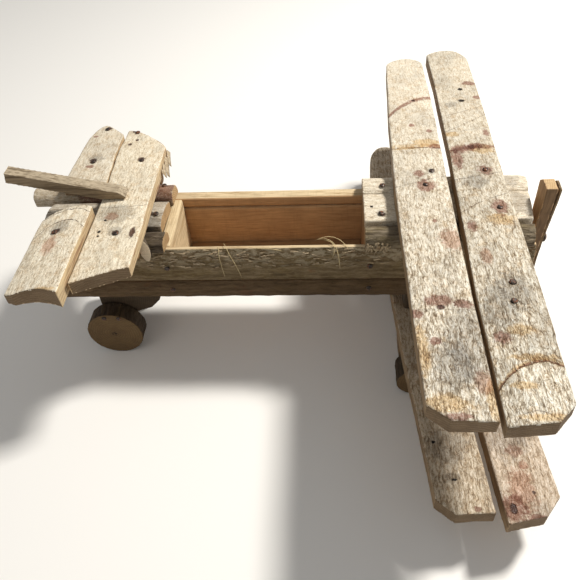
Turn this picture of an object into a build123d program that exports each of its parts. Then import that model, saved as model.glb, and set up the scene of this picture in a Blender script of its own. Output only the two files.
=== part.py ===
from build123d import *
from math import cos, radians, sin
import os

# A rustic toy biplane nailed together from bark-on slab wood, with an open planter box in its body.
# Millimetres. +X is the nose, +Y the port side, +Z up.
# The origin is on the planter box's floor: x at the box's middle, y on the fuselage's centreline.

# Fuselage and planter box
box_half = 118.0
box_starboard = -52.0
box_port = 42.0
floor_thick = 13.0
rim_z = 73.0
bulkhead_thick = 14.0
tail_x = -281.0
nose_x = 318.0
end_board_thick = 14.0
seam_z = 21.8
far_gap_z = 57.0
far_gap = 1.6

# Decks and what rests on them
deck_crown = 20.0
deck_edge = 13.0
deck_top = rim_z + deck_crown
wing_edge = 18.5
wing_crown = 21.0
tail_edge = 17.0
tail_crown = 19.0

# Lower wing and undercarriage
lower_wing_base = -72.0
spacer_base = lower_wing_base + wing_crown + 1.0
ground_z = -122.0
tail_wheel_radius = 39.5
front_wheel_radius = 24.5
tail_wheel_x = -226.0
front_wheel_x = 184.5
tail_wheel_thick = 25.5
front_wheel_thick = 34.0
axle_half_length = 98.0
tail_block_starboard = -34.5
tail_block_port = 30.5

# Propeller
hub_z = 35.0
shaft_radius = 3.0
running_gap = 0.05
end_float = 0.4
hub_spacer_thick = 8.4
blade_half = 87.0
blade_thick = 14.0
bark_thick = 5.0
blade_lean = 3.0

# Nails
nail_head_radius = 3.3
nail_head_height = 1.4
nail_shank_radius = 1.4
nail_head_sunk = 0.4
deck_nail_length = 34.0
wing_nail_length = 38.0
wheel_nail_length = 48.0


def wall_slab(x_start, x_end, inner_y, bottom, top, bottom_thick, top_thick, crown_thick):
    """A sawn slab along X: flat inner face, curved bark outside."""
    outward = 1 if inner_y > 0 else -1
    outer_bottom = (inner_y + outward * bottom_thick, bottom)
    outer_top = (inner_y + outward * top_thick, top)
    crown = (inner_y + outward * crown_thick, (bottom + top) / 2)
    with BuildPart() as slab:
        with BuildSketch(Plane.YZ.offset(x_start)):
            with BuildLine():
                Polyline(outer_top, (inner_y, top), (inner_y, bottom), outer_bottom)
                ThreePointArc(outer_bottom, crown, outer_top)
            make_face()
        extrude(amount=x_end - x_start)
    return slab


def deck_slab(outline, y_low, y_high, edge, crown):
    """A bark-up slab lying along X on the rim, cut to a plan outline."""
    y_middle = (y_low + y_high) / 2
    with BuildPart() as slab:
        with BuildSketch(Plane.XY.offset(rim_z)):
            with BuildLine():
                Polyline(*outline, close=True)
            make_face()
        extrude(amount=crown)
        with BuildSketch(Plane.YZ):
            with BuildLine():
                Polyline(
                    (y_low, rim_z + edge), (y_low, rim_z), (y_high, rim_z), (y_high, rim_z + edge)
                )
                ThreePointArc((y_high, rim_z + edge), (y_middle, rim_z + crown), (y_low, rim_z + edge))
            make_face()
        extrude(amount=2 * nose_x, both=True, mode=Mode.INTERSECT)
    return slab


def crowned_plank(straight, tip, base_z, centre_x, skew, half_width, edge, crown, length):
    """A bark-up plank lying across the fuselage.

    straight is the outline's run of straight edges and tip the points of its rounded end;
    the crown follows the plank's own axis, which leans from Y by skew degrees.
    """
    across = (cos(radians(skew)), sin(radians(skew)), 0)
    along = (sin(radians(skew)), -cos(radians(skew)), 0)
    section = Plane(origin=(centre_x, 0, base_z), x_dir=across, z_dir=along)
    with BuildPart() as plank:
        with BuildSketch(Plane.XY.offset(base_z)):
            with BuildLine():
                Polyline(*straight)
                Spline(straight[-1], *tip, straight[0])
            make_face()
        extrude(amount=crown)
        with BuildSketch(section):
            with BuildLine():
                Polyline((-half_width, edge), (-half_width, 0), (half_width, 0), (half_width, edge))
                ThreePointArc((half_width, edge), (0, crown), (-half_width, edge))
            make_face()
        extrude(amount=length, both=True, mode=Mode.INTERSECT)
    return plank


def log_slice(x, z, radius, y_low, y_high, bark_round):
    """A wheel sawn across a small log, its end edges rounded by the bark."""
    with BuildPart() as slice_of_log:
        with BuildSketch(Plane.XZ.offset(-y_low)):
            with Locations((x, z)):
                Circle(radius)
        extrude(amount=y_low - y_high)
        fillet(slice_of_log.edges().filter_by(GeomType.CIRCLE), bark_round)
    return slice_of_log


def nail_group(places, outward, length):
    """Round wire nails with bevelled heads: each place is where a head meets the wood."""
    with BuildPart() as nail:
        with BuildSketch(Plane.XZ):
            with BuildLine():
                Polyline(
                    (0, nail_head_height),
                    (0, -length),
                    (nail_shank_radius, 2 * nail_shank_radius - length),
                    (nail_shank_radius, -nail_head_sunk),
                    (nail_head_radius, -nail_head_sunk),
                    (nail_head_radius, nail_head_height / 2),
                    (0.6 * nail_head_radius, nail_head_height),
                    close=True,
                )
            make_face()
        revolve(axis=Axis.Z)
    with BuildPart() as group:
        with Locations(*[Plane(origin=place, z_dir=outward) for place in places]):
            add(nail.part)
    return group


# ---------------------------------------------------------------- fuselage walls
starboard_upper_slab = wall_slab(tail_x, nose_x, box_starboard, seam_z, rim_z, 9, 6, 11)
starboard_lower_slab = wall_slab(tail_x, nose_x, box_starboard, -floor_thick, seam_z - 0.6, 4, 8.4, 11)
port_upper_slab = wall_slab(tail_x, nose_x, box_port, far_gap_z + far_gap, rim_z, 17, 16, 18.6)
port_lower_slab = wall_slab(tail_x, nose_x, box_port, -floor_thick, far_gap_z, 10, 16, 20)

# ---------------------------------------------------------------- floor boards and cross boards
belly_start = tail_x + end_board_thick
belly_end = nose_x - end_board_thick

with BuildPart() as box_floor:
    with BuildSketch(Plane.XY.offset(-floor_thick)):
        with BuildLine():
            # the port edge tapers, which leaves a slit of light at the wall's foot
            Polyline(
                (-box_half, box_starboard),
                (box_half, box_starboard),
                (box_half, box_port),
                (-box_half, box_port - 3),
                close=True,
            )
        make_face()
    extrude(amount=floor_thick)


def belly_board(x_start, x_end):
    """A board that carries the floor's line on under a deck."""
    with BuildPart() as board:
        with BuildSketch(Plane.XY.offset(-floor_thick)):
            with Locations(((x_start + x_end) / 2, (box_starboard + box_port) / 2)):
                Rectangle(x_end - x_start, box_port - box_starboard)
        extrude(amount=floor_thick)
        chamfer(board.edges().filter_by(Axis.X).group_by(Axis.Z)[0], 1.5)
    return board


def cross_board(x_start, x_end):
    """A board across the fuselage, from the belly line up to the rim."""
    with BuildPart() as board:
        with BuildSketch(Plane.YZ.offset(x_start)):
            with BuildLine():
                Polyline(
                    (box_starboard, -floor_thick),
                    (box_port, -floor_thick),
                    (box_port, rim_z),
                    (box_starboard, rim_z),
                    close=True,
                )
            make_face()
        extrude(amount=x_end - x_start)
    return board


belly_front = belly_board(box_half + bulkhead_thick, belly_end)
belly_rear = belly_board(belly_start, -box_half - bulkhead_thick)
front_bulkhead = cross_board(box_half, box_half + bulkhead_thick)
rear_bulkhead = cross_board(-box_half - bulkhead_thick, -box_half)
nose_board = cross_board(belly_end, nose_x)
tail_board = cross_board(tail_x, belly_start)

# ---------------------------------------------------------------- front deck
front_deck_port = deck_slab(
    [(box_half, 27.5), (324, 27.5), (324, 50), (314, 62), (box_half, 62)], 27.5, 62, deck_edge, deck_crown
)
front_deck_centre = deck_slab(
    [(box_half, -30), (317, -30), (322, 25), (box_half, 25)], -30, 25, deck_edge + 3, deck_crown
)
front_deck_starboard = deck_slab(
    [(box_half, -64), (313, -64), (316, -33), (box_half, -33)], -64, -33, 8, deck_crown
)

# ---------------------------------------------------------------- rear deck
rear_deck_port = deck_slab(
    [(-315, 29), (-127, 27), (-126, 58), (-306, 58), (-315, 49)], 27, 58, 7, deck_crown
)
rear_deck_centre = deck_slab(
    [(tail_x - 2, -30), (-131, -30), (-129, 21), (tail_x, 21)], -30, 21, deck_edge, deck_crown
)
rear_deck_starboard = deck_slab(
    [(tail_x + 1, -66), (-122, -66), (-120, -38), (tail_x, -38)], -66, -38, 7, deck_crown
)

# ---------------------------------------------------------------- top wing
top_wing_rear_plank = crowned_plank(
    [
        (164, 319), (158, 160), (155, 0), (159.4, -306), (179.8, -323),
        (221, -322), (220.5, -40), (222.5, 160), (222, 316),
    ],
    [(214, 336), (197, 342), (181, 339), (169, 331)],
    deck_top, 189, -0.8, 36, wing_edge, wing_crown, 400,
)
top_wing_front_plank = crowned_plank(
    [
        (229.5, 356), (231, 266), (229.6, 82), (226.4, -41), (222.6, -182), (223.8, -328),
        (268.8, -323.6), (287, -304), (289.5, -150), (288.5, 20), (291, 160), (292, 318),
    ],
    [(287, 347), (272, 364), (250, 365)],
    deck_top, 260, -1.4, 40, wing_edge, wing_crown, 400,
)

# ---------------------------------------------------------------- bottom wing
bottom_wing_rear_plank = crowned_plank(
    [
        (144, 306), (142, 254), (158.5, 0), (166, -117), (173, -188), (184, -313),
        (204, -329), (245, -326), (232, -150), (221, 0), (199, 310),
    ],
    [(193, 333), (180, 345), (165, 346), (151, 332)],
    lower_wing_base, 190, 4.1, 40, wing_edge + 1.5, wing_crown + 1, 400,
)
bottom_wing_front_plank = crowned_plank(
    [
        (204, 322), (213, 180), (227.5, 0), (240, -160), (254, -338),
        (295, -329), (312.6, -307), (300, -150), (288.6, 0), (266, 300),
    ],
    [(259, 330), (240, 346), (216, 344)],
    lower_wing_base, 258, 4.4, 42, wing_edge + 1.5, wing_crown + 1, 400,
)

with BuildPart() as wing_spacer_block:
    with BuildSketch(Plane.XY.offset(spacer_base)):
        with Locations((224, -3)):
            Rectangle(104, 88)
    extrude(amount=-floor_thick - spacer_base)
    chamfer(wing_spacer_block.edges().filter_by(Axis.Z), 3)

# ---------------------------------------------------------------- tail planks
tail_front_plank = crowned_plank(
    [(-208.5, 156), (-211, 100), (-206, 0), (-205, -154), (-142, -127), (-144, 0), (-146, 111)],
    [(-160, 127), (-180, 143), (-196, 153)],
    deck_top, -176, 0, 40, tail_edge, tail_crown, 200,
)
tail_rear_plank_port = crowned_plank(
    [(-262, 132), (-267, 26), (-208, 26), (-212.5, 100), (-213, 146)],
    [(-228, 160), (-245, 170), (-256, 155)],
    deck_top, -240, 0, 34, tail_edge, tail_crown, 200,
)

with BuildPart() as tail_rear_plank_starboard:
    with BuildSketch(Plane.XY.offset(deck_top)):
        with BuildLine():
            Polyline((-272, -42), (-273, -166), (-262, -170))
            ThreePointArc((-262, -170), (-236, -166), (-207.5, -174))
            Line((-207.5, -174), (-208.5, -27))
            ThreePointArc((-208.5, -27), (-240, -24), (-272, -42))
        make_face()
    extrude(amount=30)
    with BuildSketch(Plane.XZ):
        with BuildLine():
            # the slab is thicker along its front edge, which stands above its neighbour
            Polyline((-274, deck_top + 14), (-274, deck_top), (-206, deck_top), (-206, deck_top + 26))
            ThreePointArc((-206, deck_top + 26), (-238, deck_top + 23), (-274, deck_top + 14))
        make_face()
    extrude(amount=200, both=True, mode=Mode.INTERSECT)


def tail_batten(y_low, y_high):
    """A strip under the tail planks, beside the fuselage, that ties their halves together."""
    with BuildPart() as batten:
        with BuildSketch(Plane.YZ.offset(-262)):
            with BuildLine():
                Polyline(
                    (y_low, deck_top),
                    (y_low, deck_top - 14),
                    (y_low + 4, deck_top - 18),
                    (y_high - 4, deck_top - 18),
                    (y_high, deck_top - 14),
                    (y_high, deck_top),
                    close=True,
                )
            make_face()
        extrude(amount=112)
    return batten


tail_batten_starboard = tail_batten(-82, -67)
tail_batten_port = tail_batten(67, 85)

# ---------------------------------------------------------------- fin stick
tail_top = deck_top + tail_crown

with BuildPart() as tail_fin_stick:
    with BuildSketch(Plane.XZ.offset(-9)):
        with BuildLine():
            Polyline(
                (-175, tail_top),
                (-204, tail_top),
                (-317, tail_top + 28),
                (-313.5, tail_top + 42.5),
                (-181, tail_top + 11),
                (-171.5, tail_top + 4),
                close=True,
            )
        make_face()
    extrude(amount=18)

# ---------------------------------------------------------------- tail undercarriage
with BuildPart() as tail_block:
    with BuildSketch(Plane.XZ.offset(-tail_block_port)):
        with BuildLine():
            Polyline(
                (-244, -floor_thick), (-244, -62), (-222, -70), (-196, -66), (-172, -57),
                (-158, -42), (-155, -floor_thick), close=True,
            )
        make_face()
    extrude(amount=tail_block_port - tail_block_starboard)

tail_wheel_z = ground_z + tail_wheel_radius
tail_wheel_starboard = log_slice(
    tail_wheel_x, tail_wheel_z, tail_wheel_radius,
    tail_block_starboard - tail_wheel_thick, tail_block_starboard, 1.5,
)
tail_wheel_port = log_slice(
    tail_wheel_x, tail_wheel_z, tail_wheel_radius,
    tail_block_port, tail_block_port + tail_wheel_thick, 1.5,
)

# ---------------------------------------------------------------- front undercarriage
with BuildPart() as axle_block:
    with BuildSketch(Plane.XZ.offset(-axle_half_length)):
        with BuildLine():
            Polyline(
                (164, lower_wing_base), (165, -92), (170, -96), (200, -96), (205, -92),
                (206, lower_wing_base), close=True,
            )
        make_face()
    extrude(amount=2 * axle_half_length)

front_wheel_z = ground_z + front_wheel_radius
front_wheel_starboard = log_slice(
    front_wheel_x, front_wheel_z, front_wheel_radius,
    -axle_half_length - front_wheel_thick, -axle_half_length, 1.5,
)
front_wheel_port = log_slice(
    front_wheel_x, front_wheel_z, front_wheel_radius,
    axle_half_length, axle_half_length + front_wheel_thick, 1.5,
)

# ---------------------------------------------------------------- propeller
blade_back = nose_x + hub_spacer_thick + end_float
bark_back = blade_back + blade_thick
head_back = bark_back + bark_thick + end_float
lean = radians(blade_lean)
blade_plane = Plane(origin=(blade_back, 0, hub_z), x_dir=(0, cos(lean), sin(lean)), z_dir=(1, 0, 0))
bark_plane = blade_plane.offset(blade_thick)

with BuildPart() as hub_spacer:
    with BuildSketch(Plane.YZ.offset(nose_x)):
        with Locations((0, hub_z)):
            Circle(13)
            Circle(shaft_radius + running_gap, mode=Mode.SUBTRACT)
    extrude(amount=hub_spacer_thick)


def blade_layer(plane, thickness, half_length, hub_half, tip_half):
    """One layer of the two-tip blade: waisted at the hub, with one clipped corner at each tip."""
    with BuildPart() as layer:
        with BuildSketch(plane):
            with BuildLine():
                Polyline(
                    (3 - tip_half, half_length),
                    (tip_half - 9, half_length),
                    (tip_half, half_length - 8),
                )
                Spline(
                    (tip_half, half_length - 8),
                    (hub_half + 1, 24),
                    (hub_half, 0),
                    (tip_half - 1, 3 - half_length),
                )
                Polyline(
                    (tip_half - 1, 3 - half_length),
                    (tip_half - 5, -half_length),
                    (9 - tip_half, -half_length),
                    (-tip_half, 8 - half_length),
                )
                Spline(
                    (-tip_half, 8 - half_length),
                    (-hub_half, 0),
                    (-hub_half - 1, 24),
                    (3 - tip_half, half_length),
                )
            make_face()
            Circle(shaft_radius + running_gap, mode=Mode.SUBTRACT)
        extrude(amount=thickness)
    return layer


propeller_blade = blade_layer(blade_plane, blade_thick, blade_half, 11, 16)
propeller_bark = blade_layer(bark_plane, bark_thick, blade_half - 1.5, 10, 15)

screw_head_radius = 2.2 * shaft_radius
screw_crown_radius = 1.3 * shaft_radius
screw_crown = head_back + 3.2
slot_width = 1.6

with BuildPart() as propeller_screw:
    with BuildSketch(Plane.XZ):
        with BuildLine():
            Polyline(
                (belly_end - 8, hub_z),
                (belly_end - 2, hub_z + shaft_radius),
                (head_back, hub_z + shaft_radius),
                (head_back, hub_z + screw_head_radius),
                (head_back + 1.2, hub_z + screw_head_radius),
                (screw_crown, hub_z + screw_crown_radius),
                (screw_crown, hub_z),
                close=True,
            )
        make_face()
    revolve(axis=Axis((0, 0, hub_z), (1, 0, 0)))
    with BuildSketch(Plane.YZ.offset(screw_crown)):
        with Locations((0, hub_z)):
            Rectangle(2 * screw_head_radius, slot_width, rotation=35)
    extrude(amount=-slot_width, mode=Mode.SUBTRACT)

# ---------------------------------------------------------------- nails
up = (0, 0, 1)
down = (0, 0, -1)
starboard = (0, -1, 0)
port = (0, 1, 0)
wing_top = deck_top + wing_crown
lower_wing_top = lower_wing_base + wing_crown + 1

front_deck_nails = nail_group(
    [(143.5, 37.5, deck_top - 0.8), (139, -18.7, deck_top - 0.6)], up, deck_nail_length
)
rear_deck_nails = nail_group(
    [(-139, -12.5, deck_top - 0.3), (-140, 47, deck_top - 0.8)], up, deck_nail_length
)
top_wing_nails = nail_group(
    [(193, 8, wing_top), (203, 36, wing_top - 0.5), (268, 36, wing_top), (272, -38, wing_top - 0.4)],
    up, wing_nail_length,
)
top_wing_clench_nails = nail_group([(261.5, -159.3, wing_top), (258, -185.7, wing_top)], up, 20)
tail_nails = nail_group(
    [
        (-172, 77, tail_top), (-171, -72, tail_top), (-238, 76, tail_top), (-243, -72, tail_top + 3.2),
    ],
    up, deck_nail_length,
)
tail_tip_nails = nail_group([(-239, 157, tail_top), (-193, 147, tail_top - 0.3)], up, 17)
# the fin's nails are punched below its surface
fin_nails = nail_group([(-186, 0, tail_top + 7), (-199, 0, tail_top + 9)], up, deck_nail_length)
bottom_wing_nails = nail_group(
    [
        (211, 22, lower_wing_base), (213, -26, lower_wing_base),
        (254, 22, lower_wing_base), (260, -26, lower_wing_base),
    ],
    down, 48,
)
axle_nails = nail_group([(183, 72, lower_wing_top), (193, -72, lower_wing_top - 0.1)], up, 38)
tail_block_nails = nail_group([(-232, -20, 0), (-232, 18, 0), (-172, -20, 0), (-172, 18, 0)], up, 36)
spacer_nails = nail_group(
    [(186, -30, 0), (186, 24, 0), (262, -30, 0), (262, 24, 0)], up, deck_nail_length
)
starboard_wheel_nails = nail_group(
    [
        (-233, tail_block_starboard - tail_wheel_thick, -50),
        (-213, tail_block_starboard - tail_wheel_thick, -50.5),
        (178, -axle_half_length - front_wheel_thick, -84),
        (191, -axle_half_length - front_wheel_thick, -85),
    ],
    starboard, wheel_nail_length,
)
port_wheel_nails = nail_group(
    [
        (-233, tail_block_port + tail_wheel_thick, -50),
        (-213, tail_block_port + tail_wheel_thick, -50.5),
        (178, axle_half_length + front_wheel_thick, -84),
        (191, axle_half_length + front_wheel_thick, -85),
    ],
    port, wheel_nail_length,
)

# wall nails stand a little proud of the bark, and end inside the cross boards and belly boards
board_middle = end_board_thick / 2
cross_board_x = [
    tail_x + board_middle, -box_half - board_middle, box_half + board_middle, nose_x - board_middle,
]
starboard_rows = [(box_starboard - 11, 46), (box_starboard - 10.4, 8)]
port_rows = [(box_port + 18, 66), (box_port + 19.9, 24)]
starboard_wall_nails = nail_group(
    [(x, y, z) for x in cross_board_x for y, z in starboard_rows], starboard, deck_nail_length
)
port_wall_nails = nail_group(
    [(x, y, z) for x in cross_board_x for y, z in port_rows], port, 40
)

pieces = {
    "starboard_upper_slab": starboard_upper_slab,
    "starboard_lower_slab": starboard_lower_slab,
    "port_upper_slab": port_upper_slab,
    "port_lower_slab": port_lower_slab,
    "box_floor": box_floor,
    "belly_front": belly_front,
    "belly_rear": belly_rear,
    "front_bulkhead": front_bulkhead,
    "rear_bulkhead": rear_bulkhead,
    "nose_board": nose_board,
    "tail_board": tail_board,
    "front_deck_port": front_deck_port,
    "front_deck_centre": front_deck_centre,
    "front_deck_starboard": front_deck_starboard,
    "rear_deck_port": rear_deck_port,
    "rear_deck_centre": rear_deck_centre,
    "rear_deck_starboard": rear_deck_starboard,
    "top_wing_rear_plank": top_wing_rear_plank,
    "top_wing_front_plank": top_wing_front_plank,
    "bottom_wing_rear_plank": bottom_wing_rear_plank,
    "bottom_wing_front_plank": bottom_wing_front_plank,
    "wing_spacer_block": wing_spacer_block,
    "tail_front_plank": tail_front_plank,
    "tail_rear_plank_port": tail_rear_plank_port,
    "tail_rear_plank_starboard": tail_rear_plank_starboard,
    "tail_batten_starboard": tail_batten_starboard,
    "tail_batten_port": tail_batten_port,
    "tail_fin_stick": tail_fin_stick,
    "tail_block": tail_block,
    "tail_wheel_starboard": tail_wheel_starboard,
    "tail_wheel_port": tail_wheel_port,
    "axle_block": axle_block,
    "front_wheel_starboard": front_wheel_starboard,
    "front_wheel_port": front_wheel_port,
    "hub_spacer": hub_spacer,
    "propeller_blade": propeller_blade,
    "propeller_bark": propeller_bark,
    "propeller_screw": propeller_screw,
    "front_deck_nails": front_deck_nails,
    "rear_deck_nails": rear_deck_nails,
    "top_wing_nails": top_wing_nails,
    "top_wing_clench_nails": top_wing_clench_nails,
    "tail_nails": tail_nails,
    "tail_tip_nails": tail_tip_nails,
    "fin_nails": fin_nails,
    "bottom_wing_nails": bottom_wing_nails,
    "axle_nails": axle_nails,
    "tail_block_nails": tail_block_nails,
    "spacer_nails": spacer_nails,
    "starboard_wheel_nails": starboard_wheel_nails,
    "port_wheel_nails": port_wheel_nails,
    "starboard_wall_nails": starboard_wall_nails,
    "port_wall_nails": port_wall_nails,
}

os.makedirs("parts", exist_ok=True)
for name, piece in pieces.items():
    piece.part.label = name
    export_step(piece.part, f"parts/{name}.step")
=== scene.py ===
import random
from math import cos, pi, sin

import bmesh
import bpy
import numpy as np
from mathutils import Matrix, Vector, noise
from mathutils.bvhtree import BVHTree


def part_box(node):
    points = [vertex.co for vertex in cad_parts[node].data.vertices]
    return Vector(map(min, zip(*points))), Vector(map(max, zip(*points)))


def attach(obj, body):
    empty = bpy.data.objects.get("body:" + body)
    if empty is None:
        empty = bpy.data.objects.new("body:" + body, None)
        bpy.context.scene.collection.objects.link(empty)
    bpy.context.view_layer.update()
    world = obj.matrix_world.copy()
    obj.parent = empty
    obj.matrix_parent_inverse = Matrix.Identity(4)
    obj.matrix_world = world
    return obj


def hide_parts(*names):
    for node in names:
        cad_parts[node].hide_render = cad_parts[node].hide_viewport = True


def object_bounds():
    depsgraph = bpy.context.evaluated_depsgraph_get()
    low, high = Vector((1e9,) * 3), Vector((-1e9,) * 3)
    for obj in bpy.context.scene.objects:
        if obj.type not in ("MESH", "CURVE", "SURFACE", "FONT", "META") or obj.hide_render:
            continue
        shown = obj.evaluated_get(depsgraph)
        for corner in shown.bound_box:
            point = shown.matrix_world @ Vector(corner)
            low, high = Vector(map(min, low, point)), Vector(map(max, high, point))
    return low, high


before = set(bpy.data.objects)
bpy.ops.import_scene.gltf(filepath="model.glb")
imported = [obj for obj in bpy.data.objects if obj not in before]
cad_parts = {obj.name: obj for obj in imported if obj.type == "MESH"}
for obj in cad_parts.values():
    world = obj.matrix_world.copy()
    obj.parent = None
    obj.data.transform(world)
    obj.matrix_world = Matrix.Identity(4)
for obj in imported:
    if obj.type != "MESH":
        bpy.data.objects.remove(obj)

# A rustic biplane planter of bark-on slab wood. Metres, in the CAD frame: +X nose, +Y port, +Z up.
cad_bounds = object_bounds()
mm = 0.001
scene = bpy.context.scene
scene.view_settings.view_transform = "Standard"

ground_z = cad_bounds[0][2]
rim_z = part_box("port_upper_slab")[1].z
box_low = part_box("box_floor")[0]
box_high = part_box("box_floor")[1]


# ------------------------------------------------------------------ camera, light and floor
def camera():
    """A camera above the starboard side, a little rolled, at the photographed angle."""
    yaw, pitch, roll = -0.107, -0.794, -0.085
    eye_place = (0.0844, -0.6103, 0.5661)
    forward = Vector((sin(yaw) * cos(pitch), cos(yaw) * cos(pitch), sin(pitch)))
    level_right = forward.cross(Vector((0, 0, 1))).normalized()
    level_up = level_right.cross(forward)
    right = cos(roll) * level_right + sin(roll) * level_up
    up = -sin(roll) * level_right + cos(roll) * level_up
    data = bpy.data.cameras.new("camera")
    data.sensor_width = 36.0
    data.lens = 38.4
    data.clip_start = 0.01
    eye = bpy.data.objects.new("camera", data)
    turn = Matrix((right, up, -forward)).transposed().to_4x4()
    eye.matrix_world = Matrix.Translation(eye_place) @ turn
    scene.collection.objects.link(eye)
    scene.camera = eye


def area_light(name, place, target, size, power, colour):
    data = bpy.data.lights.new(name, "AREA")
    data.size = size
    data.energy = power
    data.color = colour
    lamp = bpy.data.objects.new(name, data)
    lamp.location = place
    lamp.rotation_euler = (Vector(target) - Vector(place)).to_track_quat("-Z", "Y").to_euler()
    scene.collection.objects.link(lamp)


def stage():
    """A pale floor, a soft key light from the port bow and a weak fill."""
    mesh = bpy.data.meshes.new("floor")
    half = 6.0
    corners = [(-half, -half), (half, -half), (half, half), (-half, half)]
    mesh.from_pydata([(x, y, ground_z) for x, y in corners], [], [(0, 1, 2, 3)])
    floor = bpy.data.objects.new("floor", mesh)
    scene.collection.objects.link(floor)
    paint = bpy.data.materials.new("floor_paint")
    paint.use_nodes = True
    shader = paint.node_tree.nodes["Principled BSDF"]
    shader.inputs["Base Color"].default_value = (0.86, 0.85, 0.83, 1)
    shader.inputs["Roughness"].default_value = 0.9
    mesh.materials.append(paint)
    area_light("key", (1.35, 0.62, 2.02), (0.05, 0, 0), 0.34, 82, (1.0, 0.96, 0.89))
    area_light("fill", (-1.2, -1.6, 1.6), (0, 0, 0), 1.6, 5, (1.0, 0.97, 0.93))
    world = bpy.data.worlds.new("studio")
    scene.world = world
    world.use_nodes = True
    background = world.node_tree.nodes["Background"]
    background.inputs["Color"].default_value = (1.0, 0.99, 0.97, 1)
    background.inputs["Strength"].default_value = 0.33


# ------------------------------------------------------------------ material building blocks
class Paint:
    """A node material, with short names for the nodes that the woods share."""

    def __init__(self, name):
        self.material = bpy.data.materials.new(name)
        self.material.use_nodes = True
        self.nodes = self.material.node_tree.nodes
        self.links = self.material.node_tree.links
        self.shader = self.nodes["Principled BSDF"]
        self.place = self.nodes.new("ShaderNodeTexCoord").outputs["Object"]

    def put(self, socket, value):
        if isinstance(value, bpy.types.NodeSocket):
            self.links.new(value, socket)
        else:
            socket.default_value = value

    def vector(self, operation, a, b=None, scale=None):
        node = self.nodes.new("ShaderNodeVectorMath")
        node.operation = operation
        self.put(node.inputs[0], a)
        if b is not None:
            self.put(node.inputs[1], b)
        if scale is not None:
            self.put(node.inputs["Scale"], scale)
        return node.outputs["Value" if operation == "LENGTH" else "Vector"]

    def math(self, operation, a, b=0.0):
        node = self.nodes.new("ShaderNodeMath")
        node.operation = operation
        self.put(node.inputs[0], a)
        self.put(node.inputs[1], b)
        return node.outputs[0]

    def plus(self, a, b):
        return self.math("ADD", a, b)

    def minus(self, a, b):
        return self.math("SUBTRACT", a, b)

    def times(self, a, b):
        return self.math("MULTIPLY", a, b)

    def centred(self, value):
        """A noise's value, moved so that it is about zero in the middle."""
        return self.minus(value, 0.5)

    def noise(self, place, scale, detail=5.0, rough=0.6, distort=0.0, colour=False):
        node = self.nodes.new("ShaderNodeTexNoise")
        self.put(node.inputs["Vector"], place)
        node.inputs["Scale"].default_value = scale
        node.inputs["Detail"].default_value = detail
        node.inputs["Roughness"].default_value = rough
        node.inputs["Distortion"].default_value = distort
        return node.outputs["Color" if colour else "Fac"]

    def cells(self, place, scale):
        node = self.nodes.new("ShaderNodeTexVoronoi")
        self.put(node.inputs["Vector"], place)
        node.inputs["Scale"].default_value = scale
        return node.outputs["Distance"]

    def ramp(self, value, stops):
        node = self.nodes.new("ShaderNodeValToRGB")
        self.put(node.inputs[0], value)
        elements = node.color_ramp.elements
        while len(elements) < len(stops):
            elements.new(0.5)
        for element, (position, colour) in zip(elements, stops):
            element.position = position
            element.color = (*colour, 1)
        return node.outputs["Color"]

    def band(self, value, low, high):
        """0 at low and 1 at high, smooth between; low may be the larger."""
        node = self.nodes.new("ShaderNodeMapRange")
        node.interpolation_type = "SMOOTHSTEP"
        self.put(node.inputs["Value"], value)
        node.inputs["From Min"].default_value = min(low, high)
        node.inputs["From Max"].default_value = max(low, high)
        node.inputs["To Min"].default_value = 0.0 if low < high else 1.0
        node.inputs["To Max"].default_value = 1.0 if low < high else 0.0
        return node.outputs["Result"]

    def between(self, value, reach, ends):
        """A straight change over the reach, from the second of the ends to the first."""
        node = self.nodes.new("ShaderNodeMapRange")
        self.put(node.inputs["Value"], value)
        settings = {"From Min": reach[0], "From Max": reach[1], "To Min": ends[1], "To Max": ends[0]}
        for key, setting in settings.items():
            node.inputs[key].default_value = setting
        return node.outputs["Result"]

    def mix(self, amount, a, b, kind="MIX"):
        node = self.nodes.new("ShaderNodeMix")
        node.data_type = "RGBA"
        node.blend_type = kind
        self.put(node.inputs["Factor"], amount)
        for socket, value in ((node.inputs[6], a), (node.inputs[7], b)):
            self.put(socket, (*value, 1) if isinstance(value, tuple) else value)
        return node.outputs[2]

    def stained(self, amount, colour, stain):
        """colour multiplied by a stain, as far as amount says."""
        return self.mix(amount, colour, self.mix(1.0, colour, stain, "MULTIPLY"))

    def coordinates(self, place):
        """place as its x, y and z."""
        split = self.nodes.new("ShaderNodeSeparateXYZ")
        self.put(split.inputs[0], place)
        return split.outputs["X"], split.outputs["Y"], split.outputs["Z"]

    def warped(self, place, scale, amount):
        """place, pushed about by a slow noise, so that straight fibres run wavy."""
        push = self.vector("SUBTRACT", self.noise(place, scale, 2.0, colour=True), (0.5, 0.5, 0.5))
        return self.vector("ADD", place, self.vector("SCALE", push, scale=amount))

    def along(self, place, grain, stretch):
        """place squeezed along the grain, so that a noise there draws fibres."""
        factors = [1.0, 1.0, 1.0]
        factors["xyz".index(grain)] = stretch
        return self.vector("MULTIPLY", place, tuple(factors))

    def finish(self, colour, height, roughness, strength, depth):
        """The material, with a bump of this strength and depth in metres."""
        bump = self.nodes.new("ShaderNodeBump")
        bump.inputs["Strength"].default_value = strength
        bump.inputs["Distance"].default_value = depth
        self.put(bump.inputs["Height"], height)
        self.put(self.shader.inputs["Base Color"], colour)
        self.put(self.shader.inputs["Roughness"], roughness)
        self.put(self.shader.inputs["Normal"], bump.outputs["Normal"])
        self.shader.inputs["Specular IOR Level"].default_value = 0.25
        return self.material


def shade(colour, share):
    """The colour made darker or lighter by a factor."""
    return tuple(min(1.0, share * c) for c in colour)


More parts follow.
